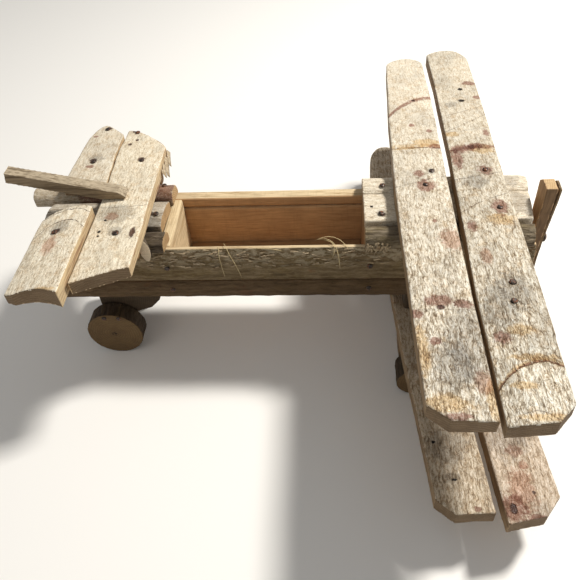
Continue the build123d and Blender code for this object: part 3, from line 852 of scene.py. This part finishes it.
def build_propeller():
    wood = sawn("propeller_wood", "z", (0.47, 0.305, 0.165), (0.29, 0.165, 0.08), 0.45)
    # the blade's narrow edges are coloured much darker than its broad faces: painted shade on the edges
    edge = sawn("propeller_edge_painted_shade", "z", (0.20, 0.125, 0.065), (0.11, 0.065, 0.033), 0.6)
    end = end_grain("propeller_end", (0.30, 0.0, 0.0), "z", (0.60, 0.43, 0.24), (0.40, 0.26, 0.13), 2.4 * mm)
    bark = dark_bark("propeller_bark", "z", (0.22, 0.15, 0.09), (0.45, 0.35, 0.24))
    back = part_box("propeller_bark")[0].x
    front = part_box("propeller_bark")[1].x
    hub_z = (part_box("propeller_screw")[0].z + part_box("propeller_screw")[1].z) / 2

    def faces(normal, place):
        """The broad faces are cut as bark is, for their deeper grain."""
        if abs(normal.z) > 0.6:
            return END
        return BARK if abs(normal.x) > 0.6 else SAWN

    def loose(places):
        """The bark is thin, and lifts off the wood towards the upper tip."""
        lift = np.clip((places[:, 2] - hub_z - 20 * mm) / (60 * mm), 0, 1)
        share = (places[:, 0] - back) / (front - back)
        thin = back + share * 3.0 * mm
        places[:, 0] = np.minimum(thin + lift * 1.9 * mm, front)
        return places

    carve(
        "propeller_blade", "propeller", [wood, edge, end], faces, "z",
        voxel=1.4, bark_depth=0.5, sawn_depth=0.4, wander=0.5, seed=141,
    )
    carve(
        "propeller_bark", "propeller", [bark, bark, bark], faces, "z",
        voxel=1.1, bark_depth=0.6, sawn_depth=0.5, wander=0.3, seed=151, bend=loose,
    )


def build_nails():
    steel = nail_steel()
    for node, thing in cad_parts.items():
        if node.endswith("_nails") or node == "propeller_screw":
            thing.data.materials.clear()
            thing.data.materials.append(steel)


# ------------------------------------------------------------------ flakes, stub and straw
def piece_from(name, points, faces, paint):
    """A free mesh on the airframe."""
    mesh = bpy.data.meshes.new(name)
    mesh.from_pydata(points, [], faces)
    mesh.materials.append(paint)
    mesh.polygons.foreach_set("use_smooth", np.ones(len(faces), bool))
    mesh.update()
    piece = bpy.data.objects.new(name, mesh)
    scene.collection.objects.link(piece)
    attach(piece, "airframe")
    return piece


def add_flake(points, faces, root, along, out, length, width, thick, curl, taper=0.85):
    """A sliver of bark: fixed at root, running along, and lifting towards out at its tip."""
    rows = 5
    side = along.cross(out).normalized()
    start = len(points)
    for row in range(rows):
        share = row / (rows - 1)
        middle = root + along * length * share + out * curl * share * share
        half = side * width * 0.5 * (1 - taper * share * share)
        skin = out * thick * (1 - 0.7 * share)
        points.extend([middle - half, middle + half, middle + half + skin, middle - half + skin])
    for row in range(rows - 1):
        a = start + 4 * row
        for k in range(4):
            b = (k + 1) % 4
            faces.append((a + k, a + b, a + 4 + b, a + 4 + k))
    faces.append((start + 3, start + 2, start + 1, start))
    last = start + 4 * (rows - 1)
    faces.append((last, last + 1, last + 2, last + 3))


def build_fringe():
    """Torn bark along the top of the starboard wall and the front deck's starboard slab."""
    paint = pale_bark("torn_bark", "x", (0.72, 0.62, 0.48), (), (), warmth=0.4, speckle=0.3, grey=0.3)
    dice = random.Random(7)
    wall_flakes = 95
    deck_flakes = 30
    points, faces = [], []
    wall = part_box("starboard_upper_slab")
    for _ in range(wall_flakes):
        x = dice.uniform(box_low.x - 40 * mm, box_high.x + 26 * mm)
        z = rim_z - dice.uniform(1, 26) * mm
        y = wall[0].y + (4.6 - 4.2 * min(1.0, (rim_z - z) / (24 * mm))) * mm
        lean = dice.uniform(-0.35, 0.35)
        along = Vector((cos(lean) * dice.choice((-1, 1)), 0, sin(lean)))
        out = Vector((0, -1, dice.uniform(0.2, 0.8))).normalized()
        length = dice.uniform(4, 13) * mm
        width = dice.uniform(1.0, 2.8) * mm
        curl = dice.uniform(0.3, 1.6) * mm
        add_flake(points, faces, Vector((x, y, z)), along, out, length, width, 0.5 * mm, curl)
    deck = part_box("front_deck_starboard")
    for _ in range(deck_flakes):
        x = dice.uniform(deck[0].x + 2 * mm, deck[0].x + 32 * mm)
        z = rim_z + dice.uniform(1, 12) * mm
        along = Vector((dice.uniform(-0.6, 0.6), 0, -1)).normalized()
        root = Vector((x, deck[0].y + 0.8 * mm, z))
        length = dice.uniform(4, 10) * mm
        width = dice.uniform(1.2, 3.2) * mm
        curl = dice.uniform(0.4, 1.6) * mm
        add_flake(points, faces, root, along, Vector((0, -1, 0)), length, width, 0.6 * mm, curl)
    piece_from("starboard_torn_bark", points, faces, paint)


def build_tail_flakes():
    """Loose bark that hangs from the tail front plank's leading edge, port of the fuselage."""
    paint = pale_bark("hanging_bark", "z", (0.78, 0.70, 0.58), (), (), warmth=0.3, speckle=0.3, grey=0.3)
    points, faces = [], []
    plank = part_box("tail_front_plank")
    for y, length, width in ((112, 24, 8), (97, 30, 11), (80, 20, 8), (68, 9, 4)):
        root = Vector((plank[1].x - 3 * mm, y * mm, plank[0].z + 9 * mm))
        along = Vector((0.10, -0.88, -0.46)).normalized()
        out = Vector((0.92, 0.05, 0.38)).normalized()
        add_flake(points, faces, root, along, out, length * mm, width * mm, 1.0 * mm, 3 * mm, 0.45)
    piece_from("tail_hanging_bark", points, faces, paint)


def build_stub():
    """A branch sawn off flush: a pale leaf-shaped face on the rear deck's starboard slab."""
    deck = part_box("rear_deck_starboard")
    centre = Vector((-0.144, deck[0].y - 3.2 * mm, rim_z + 8 * mm))
    face = end_grain("stub_face", tuple(centre), "y", (0.66, 0.56, 0.42), (0.46, 0.36, 0.24), 1.6 * mm)
    bark = dark_bark("stub_bark", "y", (0.085, 0.063, 0.045), (0.25, 0.2, 0.14))
    count = 28
    long_way = Vector((0.20, -0.28, -0.94)).normalized()
    outward = Vector((0.10, -0.86, 0.50)).normalized()
    short_way = long_way.cross(outward).normalized()
    outward = short_way.cross(long_way).normalized()
    points, faces = [], []
    half_length = 13 * mm
    half_width = 5.6 * mm
    # how far each ring lies under the sawn face, in millimetres, and its share of the face's size
    rings = ((0.0, 0.80), (0.275, 1.0), (0.4, 1.08), (9.0, 1.18))
    for depth, size in rings:
        for k in range(count):
            turn = 2 * pi * k / count
            pointed = 1 - 0.28 * abs(cos(turn)) ** 3
            spread = long_way * cos(turn) * half_length + short_way * sin(turn) * half_width * pointed
            points.append(centre + spread * size - outward * depth * mm)
    points.append(centre)
    hub = len(points) - 1
    for k in range(count):
        after = (k + 1) % count
        faces.append((hub, k, after))
        for ring in range(len(rings) - 1):
            a, b = ring * count, (ring + 1) * count
            faces.append((a + k, b + k, b + after, a + after))
    faces.append(tuple(range(len(points) - 2, len(points) - 2 - count, -1)))
    stub = piece_from("branch_stub", points, faces, face)
    stub.data.materials.append(bark)
    face_limit = centre.dot(outward) - 1.2 * mm
    for polygon in stub.data.polygons:
        polygon.material_index = 0 if polygon.center.dot(outward) > face_limit else 1


def add_strand(points, faces, path, radius):
    """A thin straw through the path's points, six-sided, tapering to its ends."""
    sides = 6
    start = len(points)
    for i, place in enumerate(path):
        ahead = path[min(i + 1, len(path) - 1)] - path[max(i - 1, 0)]
        across = ahead.cross(Vector((0.3, 0.2, 1))).normalized()
        over = ahead.cross(across).normalized()
        size = radius * (0.45 if i in (0, len(path) - 1) else 1.0)
        for k in range(sides):
            turn = 2 * pi * k / sides
            points.append(place + (across * cos(turn) + over * sin(turn)) * size)
    for i in range(len(path) - 1):
        a = start + sides * i
        for k in range(sides):
            b = (k + 1) % sides
            faces.append((a + k, a + b, a + sides + b, a + sides + k))
    faces.append(tuple(range(start + sides - 1, start - 1, -1)))
    last = start + sides * (len(path) - 1)
    faces.append(tuple(range(last, last + sides)))


def build_straw():
    """A few dry strands that hang over the planter box's starboard rim."""
    paint = sawn("straw", "z", (0.62, 0.50, 0.28), (0.38, 0.27, 0.12), 0.3)
    wall_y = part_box("starboard_upper_slab")[0].y
    strands = [
        [(-52, -50, 2), (-49, -56, 4), (-46, -62, 0), (-41, -64.5, -12), (-36, -65.5, -26), (-33, -65, -42)],
        [(-58, -54, 1), (-57, -60, 0), (-57, -64, -12), (-55, -65, -30), (-54, -65, -40)],
        [(62, -44, 0), (72, -47, 6), (82, -54, 5), (87, -62, -2), (88, -65, -16), (89, -65.5, -28)],
        [(60, -48, 3), (75, -44, 8), (90, -48, 4), (96, -56, 1), (99, -60, -2)],
        [(-20, -57, 1), (-8, -60, 1.2), (6, -59, 1), (20, -61, -2)],
        [(70, -46, 1), (80, -50, 3), (84, -60, 0), (80, -64.5, -10)],
    ]
    points, faces = [], []
    for strand in strands:
        corners = [Vector((x * mm, y * mm, rim_z + z * mm)) for x, y, z in strand]
        path = []
        for a, b in zip(corners, corners[1:]):
            path.extend([a, a.lerp(b, 0.5)])
        path.append(corners[-1])
        for _ in range(2):
            inner = [(p + 2 * q + r) / 4 for p, q, r in zip(path, path[1:], path[2:])]
            path = [path[0], *inner, path[-1]]
        for point in path:
            if point.z < rim_z - 3 * mm:
                point.y = min(point.y, wall_y - 0.6 * mm)
        add_strand(points, faces, path, 0.35 * mm)
    piece_from("straw_strands", points, faces, paint)


camera()
stage()
build_wings()
build_fuselage()
build_decks()
build_boards()
build_wheels()
build_fin()
build_propeller()
build_nails()
build_fringe()
build_tail_flakes()
build_stub()
build_straw()

bpy.context.view_layer.update()
